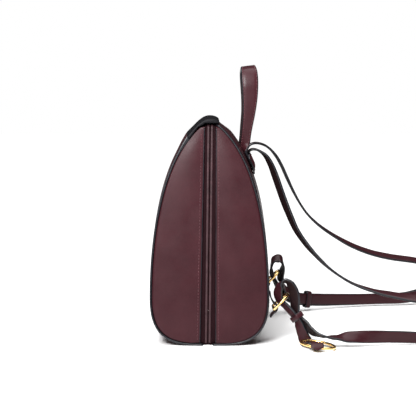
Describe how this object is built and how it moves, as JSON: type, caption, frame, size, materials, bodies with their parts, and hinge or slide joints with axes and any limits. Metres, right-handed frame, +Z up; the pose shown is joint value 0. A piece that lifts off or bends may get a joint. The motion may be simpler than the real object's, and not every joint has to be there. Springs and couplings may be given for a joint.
{
  "type": "leather backpack",
  "caption": "Small pointed-arch leather backpack that opens like a clamshell round a side-to-side zip, with top handle and buckled shoulder straps.",
  "frame": {"origin": "under the middle of the base, on the fold that joins the two halves", "axes": "+Z up, +Y towards the wearer's back where the straps leave, +X the right side seen from behind the straps' far side"},
  "size_m": [0.3285, 0.4712, 0.3545],
  "materials": {
    "leather": "smooth fine-grained burgundy leather, satin",
    "black_leather": "black painted leather edge and binding, semi-gloss",
    "zip_tape": "woven burgundy zip tape",
    "zip_coil": "fine nylon coil dyed burgundy",
    "lining": "dark brown twill lining",
    "board": "fibre stiffener board",
    "gold_metal": "polished pale gold plating"
  },
  "bodies": {
    "back_shell": {"back_panel": "leather", "gusset_back_r": "leather", "gusset_back_l": "leather", "binding_back_r": "black_leather", "binding_back_l": "black_leather", "zip_tape_back": "zip_tape", "zip_coil_back": "zip_coil", "lining_back": "lining", "lining_side_back_r": "lining", "lining_side_back_l": "lining", "inner_pocket": "lining", "base_board": "board", "base_fold": "leather", "back_yoke": "leather", "shoulder_strap_r": "leather", "shoulder_strap_l": "leather", "ring_tab_r": "leather", "ring_tab_l": "leather", "keeper_r": "leather", "keeper_l": "leather", "buckle_r": "gold_metal", "buckle_l": "gold_metal"},
    "front_shell": {"front_panel": "leather", "gusset_front_r": "leather", "gusset_front_l": "leather", "binding_front_r": "black_leather", "binding_front_l": "black_leather", "zip_tape_front": "zip_tape", "zip_coil_front": "zip_coil", "lining_front": "lining", "lining_side_front_r": "lining", "lining_side_front_l": "lining", "ridge_cap": "black_leather"},
    "handle": {"handle": "leather"},
    "slider": {"zip_slider": "gold_metal"},
    "puller": {"zip_puller": "gold_metal"},
    "ring_r": {"d_ring_r": "gold_metal"},
    "ring_l": {"d_ring_l": "gold_metal"}
  },
  "joints": [
    {"name": "front_open", "type": "hinge", "parent": "back_shell", "child": "front_shell", "pos_m": [0, -0.0022, 0], "axis": [1, 0, 0], "range_deg": [0, 100]},
    {"name": "zip_slide", "type": "slide", "parent": "back_shell", "child": "slider", "axis": [0.1274, 0.0117, 0.9918], "range_m": [0, 0.21]},
    {"name": "puller_swing", "type": "hinge", "parent": "slider", "child": "puller", "pos_m": [-0.11055, -0.0017, 0.04225], "axis": [0, 1, 0], "range_deg": [0, 100]},
    {"name": "handle_fold", "type": "hinge", "parent": "back_shell", "child": "handle", "pos_m": [0, 0.0472, 0.2536], "axis": [1, 0, 0], "range_deg": [-55, 5]},
    {"name": "ring_swing_r", "type": "hinge", "parent": "back_shell", "child": "ring_r", "pos_m": [0.095, 0.0814, 0.0455], "axis": [1, 0, 0], "range_deg": [0, 6]},
    {"name": "ring_swing_l", "type": "hinge", "parent": "back_shell", "child": "ring_l", "pos_m": [-0.095, 0.0814, 0.0455], "axis": [1, 0, 0], "range_deg": [0, 6]}
  ]
}
